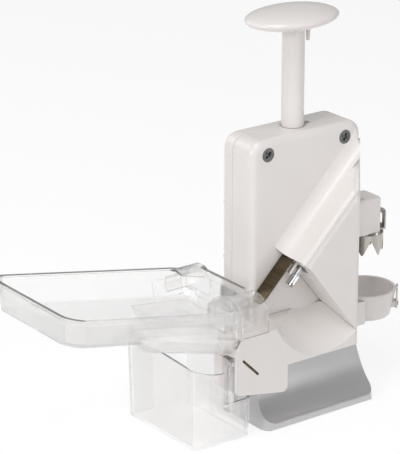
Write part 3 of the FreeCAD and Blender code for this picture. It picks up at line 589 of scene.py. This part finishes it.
def makeStoneBox(values):
    low, high = values["low"], values["high"]
    piece = makeBlock(low, high)
    piece.name = "stoneBox"
    width, depth, height = [b - a for a, b in zip(low, high)]
    inset = values["footInset"]
    selectFaces(piece, facingDown)
    bpy.ops.transform.resize(value=(1 - 2 * inset / width, 1 - 2 * inset / depth, 1))
    bpy.ops.object.mode_set(mode="OBJECT")
    tall = height / 2 * millimetre
    selectEdges(piece, lambda a, b: abs(a.z - b.z) > tall)
    bpy.ops.mesh.bevel(offset=values["cornerRadius"] * millimetre, segments=values["cornerSteps"],
                       affect="EDGES")
    bpy.ops.object.mode_set(mode="OBJECT")
    ground = (low[2] + near) * millimetre
    selectEdges(piece, lambda a, b: a.z < ground and b.z < ground)
    bpy.ops.mesh.bevel(offset=values["bottomRadius"] * millimetre, segments=values["bottomSteps"],
                       affect="EDGES")
    bpy.ops.object.mode_set(mode="OBJECT")
    selectFaces(piece, facingUp)
    bpy.ops.mesh.delete(type="FACE")
    bpy.ops.object.mode_set(mode="OBJECT")
    makeActive(piece)
    skin = piece.modifiers.new("Wall", "SOLIDIFY")
    skin.thickness = values["wall"] * millimetre
    skin.offset = -1
    skin.use_even_offset = True
    bpy.ops.object.modifier_apply(modifier="Wall")
    recalculate(piece)
    # wedges cut the rim, first along the left wall and then along the front wall
    past, top = values["past"][0], high[2] + values["past"][1]
    side = values["sideFall"]
    for (ya, za), (yb, zb) in zip(side[:-1], side[1:]):
        wedge = makeWedge((low[0] - past, yb, za), (values["sideFallTo"], ya, top), 1, yb, zb)
        combine(piece, wedge, "DIFFERENCE")
    front = values["fall"]
    for (xa, za), (xb, zb) in zip(front[:-1], front[1:]):
        wedge = makeWedge((xa, low[1] - past, za), (xb, values["fallTo"], top), 0, xb, zb)
        combine(piece, wedge, "DIFFERENCE")
    combine(piece, makeBlock(*zip(*values["step"])), "DIFFERENCE")
    lug = makeBlock(values["lugLow"], values["lugHigh"])
    combine(lug, makeBlock(*zip(*values["lugSlot"])), "DIFFERENCE")
    combine(piece, lug, "UNION")
    finishEdges(piece, values["edge"])
    return piece


def onBoxRim(values, centre, normal):
    # faces that get the painted rim shade: faces turned up above rimAbove
    return normal.z > 0.5 and centre.z > values["rimAbove"]


box = makeStoneBox(stoneBox)
settle(box, "container", "clear_plastic", clearPlastic, "stone_container")
markPaintedRimShade(box, stoneBox, onBoxRim)
print("box made")


# Fluted pin head with a swallow-tail end

starHead = {
    "flutes": 6,
    "radius": 3.1,
    "core": 2.2,
    "length": 8.6,
    "lean": 45,
    "notch": 3.2,
    "notchTip": 0.02,
    "notchDepth": 2.6,
    "notchReach": (6, 3),  # half depth of the cutter and how far it stands below the head
    "edge": 0.18,
    "sharpAbove": 35,
}


def makeStarHead(values):
    low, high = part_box("pin_head")
    middle = [(a + b) / 2 for a, b in zip(low, high)]
    end = values["length"] / 2
    deselectAll()
    bpy.ops.mesh.primitive_cylinder_add(vertices=values["flutes"] * 4,
                                        radius=values["radius"] * millimetre,
                                        depth=values["length"] * millimetre)
    piece = bpy.context.object
    piece.name = "starHead"
    for index, point in enumerate(piece.data.vertices):
        # points of the lower and upper ring alternate; two of every four corners are drawn in
        if (index // 2) % 4 in (0, 1):
            point.co.x *= values["core"] / values["radius"]
            point.co.y *= values["core"] / values["radius"]
    # a wedge leaves the swallow tail
    half, below = values["notchReach"]
    wedge = makeBlock((-values["notch"], -half, -end - below), (values["notch"], half, -end))
    selectFaces(wedge, facingUp)
    bpy.ops.transform.resize(value=(values["notchTip"], 1, 1))
    bpy.ops.transform.translate(value=(0, 0, values["notchDepth"] * millimetre))
    bpy.ops.object.mode_set(mode="OBJECT")
    combine(piece, wedge, "DIFFERENCE")
    finishEdges(piece, values["edge"], sharpAbove=values["sharpAbove"])
    piece.rotation_euler = (0, radians(values["lean"]), 0)
    piece.location = middle
    applyPlace(piece)
    return piece


settle(makeStarHead(starHead), "pin", "chrome", chrome, "pin_head")
print("pin head made")


# Index peg with a flared root under the knob

indexPeg = {
    "sides": 32,
    # height and radius in mm, from the root down
    "rings": ((16.5, 3.0), (12.2, 3.0), (11.0, 2.45), (9.0, 1.95), (6.6, 1.54), (0.5, 1.28), (0.0, 1.0)),
}


def makeIndexPeg(values):
    low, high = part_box("index_peg")
    rings = values["rings"]
    height, radius = rings[-1]
    deselectAll()
    bpy.ops.mesh.primitive_circle_add(vertices=values["sides"], radius=radius * millimetre,
                                      fill_type="NGON",
                                      location=((low[0] + high[0]) / 2, (low[1] + high[1]) / 2, low[2]))
    piece = bpy.context.object
    piece.name = "indexPeg"
    applyPlace(piece)
    bpy.ops.object.mode_set(mode="EDIT")
    bpy.ops.mesh.select_all(action="SELECT")
    for nextHeight, nextRadius in reversed(rings[:-1]):
        bpy.ops.mesh.extrude_region_move(
            TRANSFORM_OT_translate={"value": (0, 0, (nextHeight - height) * millimetre)})
        bpy.ops.transform.resize(value=(nextRadius / radius, nextRadius / radius, 1))
        height, radius = nextHeight, nextRadius
    bpy.ops.object.mode_set(mode="OBJECT")
    recalculate(piece)
    finishEdges(piece, 0)
    return piece


settle(makeIndexPeg(indexPeg), "plunger", "white_plastic", whitePlastic, "index_peg")
print("peg made")


# Pieces inside the housing keep their CAD form

innerNodes = [
    ("crosshead", innerPlastic),
    ("pin_carriage", innerPlastic),
    ("follower_stud", platedSteel),
    ("spring_guide_rod", platedSteel),
    ("tube_pin", platedSteel),
    ("foot_screws", platedSteel),
]

for nodeName, material in innerNodes:
    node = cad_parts[nodeName]
    node.data.materials.clear()
    node.data.materials.append(material)


# Palm knob

palmKnob = {
    "centre": (-1.5, 0.0, 283.3),
    "half": (36.0, 25.0, 7.2),
    "segments": 72,
    "rings": 36,
    "collarRadius": 10.5,
    "collarInset": 0.6,
    "collarDrop": 2.8,
    "collarTaper": 0.9,
    "collarFloor": 274.5,
    "edge": 0.4,
    "sharpAbove": 28,
}


def makePalmKnob(values):
    deselectAll()
    bpy.ops.mesh.primitive_uv_sphere_add(segments=values["segments"], ring_count=values["rings"],
                                         radius=1)
    piece = bpy.context.object
    piece.name = "palmKnob"
    piece.scale = metres(values["half"])
    piece.location = metres(values["centre"])
    applyPlace(piece)
    # the collar for the tube is drawn down from the underside and ends flat
    collarRadius = values["collarRadius"] * millimetre
    taper = values["collarTaper"]
    selectFaces(piece, lambda c, n: n.z < 0 and Vector((c.x, c.y)).length < collarRadius)
    bpy.ops.mesh.inset(thickness=values["collarInset"] * millimetre)
    bpy.ops.mesh.extrude_region_move(
        TRANSFORM_OT_translate={"value": (0, 0, -values["collarDrop"] * millimetre)})
    bpy.ops.transform.resize(value=(taper, taper, 0.0),
                             center_override=(0, 0, values["collarFloor"] * millimetre))
    bpy.ops.object.mode_set(mode="OBJECT")
    finishEdges(piece, values["edge"], sharpAbove=values["sharpAbove"])
    return piece


settle(makePalmKnob(palmKnob), "plunger", "white_plastic", whitePlastic, "knob")
print("knob made")


# Countersunk screws of the housing

shellScrew = {
    "places": ((-34.0, 195.6), (33.0, 195.6)),
    "faceY": -17.0,
    "gap": 0.05,
    "headRadius": 5.0,
    "sides": 48,
    "sink": 1.3,
    "dome": ((0.6, 0.12), (1.2, 0.10), (1.2, 0.04)),  # inset and lift of each ring
    "crossLength": 4.4,
    "crossWidth": 1.25,
    "crossFrom": 0.3,
    "crossTo": 3.3,
    "crossTaper": 0.45,
    "firstTurn": 45,
    "nextTurn": 20,
    "edge": 0.08,
    "sharpAbove": 35,
}


def makeShellScrew(values, index, x, z):
    deselectAll()
    bpy.ops.mesh.primitive_cylinder_add(vertices=values["sides"],
                                        radius=values["headRadius"] * millimetre,
                                        depth=values["sink"] * millimetre,
                                        location=(0, 0, values["sink"] * millimetre / 2))
    piece = bpy.context.object
    piece.name = "shellScrew" + str(index)
    applyPlace(piece)
    selectFaces(piece, facingUp)
    for inset, lift in values["dome"]:
        bpy.ops.mesh.inset(thickness=inset * millimetre)
        bpy.ops.transform.translate(value=(0, 0, lift * millimetre))
    bpy.ops.object.mode_set(mode="OBJECT")
    # the cross recess is cut by two tapered bars
    long, wide, taper = values["crossLength"], values["crossWidth"], values["crossTaper"]
    for turn in (0, 90):
        bar = makeBlock((-long, -wide, values["crossFrom"]), (long, wide, values["crossTo"]))
        bar.rotation_euler = (0, 0, radians(turn + values["firstTurn"] + values["nextTurn"] * index))
        applyPlace(bar)
        selectFaces(bar, facingDown)
        bpy.ops.transform.resize(value=(taper, taper, 1),
                                 center_override=(0, 0, values["crossFrom"] * millimetre))
        bpy.ops.object.mode_set(mode="OBJECT")
        combine(piece, bar, "DIFFERENCE")
    finishEdges(piece, values["edge"], sharpAbove=values["sharpAbove"])
    piece.rotation_euler = (radians(90), 0, 0)
    piece.location = metres((x, values["faceY"] + values["sink"] + values["gap"], z))
    applyPlace(piece)
    return piece


for index, (x, z) in enumerate(shellScrew["places"]):
    settle(makeShellScrew(shellScrew, index, x, z), "root", "plated_steel", screwSteel, "shell_screws")
print("screws made")


# Return spring round its rod

returnSpring = {
    "centre": (-26.0, -1.0),
    "foot": 44.4,
    "top": 173.6,
    "radius": 5.2,
    "wire": 0.7,
    "wireSteps": 3,
    "turns": 19,
    "pointsPerTurn": 20,
    "endTurns": 0.035,
}


def makeReturnSpring(values):
    curve = bpy.data.curves.new("returnSpring", "CURVE")
    curve.dimensions = "3D"
    curve.bevel_depth = values["wire"] * millimetre
    curve.bevel_resolution = values["wireSteps"]
    curve.use_fill_caps = True
    spline = curve.splines.new("POLY")
    total = values["turns"] * values["pointsPerTurn"]
    spline.points.add(total)
    radius = values["radius"]
    low = values["foot"] + values["wire"]
    high = values["top"] - values["wire"]
    for i in range(total + 1):
        share = i / total
        # the turns lie closer in the middle and open a little towards both ends
        rise = share + values["endTurns"] * sin(2 * pi * share)
        angle = 2 * pi * values["turns"] * share
        x = values["centre"][0] + radius * cos(angle)
        y = values["centre"][1] + radius * sin(angle)
        spline.points[i].co = (*metres((x, y, low + (high - low) * rise)), 1)
    piece = bpy.data.objects.new("returnSpring", curve)
    bpy.context.scene.collection.objects.link(piece)
    makeActive(piece)
    bpy.ops.object.convert(target="MESH")
    piece = bpy.context.object
    bpy.ops.object.shade_smooth()
    return piece


spring = makeReturnSpring(returnSpring)
settle(spring, "plunger", "plated_steel", platedSteel, "return_spring")
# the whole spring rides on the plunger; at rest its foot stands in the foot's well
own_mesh(spring)
print("spring made")


# Floor, light and camera

studio = {
    "floorSize": 6.0,
    "floorColour": (0.92, 0.92, 0.92),
    "floorRoughness": 0.9,
    "floorGlow": 1.08,
    "glowShare": 0.72,
    "worldColour": (1.0, 1.0, 1.0),
    "worldStrength": 0.41,
    "worldSeen": 1.0,
}


def makeFloor(values):
    deselectAll()
    bpy.ops.mesh.primitive_plane_add(size=values["floorSize"])
    floor = bpy.context.object
    floor.name = "floor"
    material, tree, shader, coords = newMaterial("studio floor")
    shader.inputs["Base Color"].default_value = (*values["floorColour"], 1)
    shader.inputs["Roughness"].default_value = values["floorRoughness"]
    glow = tree.nodes.new("ShaderNodeEmission")
    glow.inputs["Strength"].default_value = values["floorGlow"]
    # the glow shows to the camera, in reflections and through clear pieces, but lights nothing
    rays = tree.nodes.new("ShaderNodeLightPath")
    direct = addLargest(tree, rays.outputs["Is Camera Ray"], rays.outputs["Is Glossy Ray"])
    seen = addLargest(tree, direct, rays.outputs["Is Transmission Ray"])
    share = tree.nodes.new("ShaderNodeMath")
    share.operation = "MULTIPLY"
    share.inputs[1].default_value = values["glowShare"]
    mix = tree.nodes.new("ShaderNodeMixShader")
    tree.links.new(seen, share.inputs[0])
    tree.links.new(share.outputs["Value"], mix.inputs["Fac"])
    tree.links.new(shader.outputs["BSDF"], mix.inputs[1])
    tree.links.new(glow.outputs["Emission"], mix.inputs[2])
    tree.links.new(mix.outputs["Shader"], tree.nodes["Material Output"].inputs["Surface"])
    floor.data.materials.append(material)


def makeWorld(values):
    world = bpy.data.worlds.new("studio")
    bpy.context.scene.world = world
    world.use_nodes = True
    sky = world.node_tree
    background = sky.nodes["Background"]
    background.inputs["Color"].default_value = (*values["worldColour"], 1)
    rays = sky.nodes.new("ShaderNodeLightPath")
    seen = addLargest(sky, rays.outputs["Is Camera Ray"], rays.outputs["Is Transmission Ray"])
    strength = addRange(sky, seen, values["worldStrength"], values["worldSeen"])
    sky.links.new(strength.outputs["Result"], background.inputs["Strength"])


lampAim = (-0.03, 0, 0.13)
lamps = [
    # name, place, size in m, power in W
    ("leftLamp", (-1.8, -0.5, 0.9), 0.8, 11.0),
    ("keyLamp", (-0.9, -1.8, 1.2), 0.9, 3.2),
    ("lowLamp", (0.7, -1.7, 0.45), 0.5, 3.2),
    ("topLamp", (-0.45, -0.45, 1.5), 0.9, 8.0),
    ("backLamp", (-0.6, 1.4, 0.9), 0.9, 3),
]


def makeLamp(name, place, size, power):
    lamp = bpy.data.lights.new(name, "AREA")
    lamp.shape = "DISK"
    lamp.size = size
    lamp.energy = power
    holder = bpy.data.objects.new(name, lamp)
    bpy.context.scene.collection.objects.link(holder)
    holder.location = place
    aim = Vector(lampAim) - Vector(place)
    holder.rotation_euler = aim.to_track_quat("-Z", "Y").to_euler()


camera = {
    "place": (-1.02311, -1.27606, 0.73594),
    "turn": 36.5,
    "tilt": 20.3,
    "lens": 198.24,
    "sensor": 36.0,
    "farthest": 20,
}


def makeCamera(values):
    data = bpy.data.cameras.new("photoView")
    data.lens = values["lens"]
    data.sensor_width = values["sensor"]
    data.sensor_fit = "AUTO"
    data.clip_end = values["farthest"]
    holder = bpy.data.objects.new("photoView", data)
    bpy.context.scene.collection.objects.link(holder)
    holder.location = values["place"]
    holder.rotation_euler = (radians(90 - values["tilt"]), 0, radians(-values["turn"]))
    bpy.context.scene.camera = holder


makeFloor(studio)
makeWorld(studio)
for name, place, size, power in lamps:
    makeLamp(name, place, size, power)
makeCamera(camera)
bpy.context.scene.view_settings.view_transform = "Standard"
print("studio set")
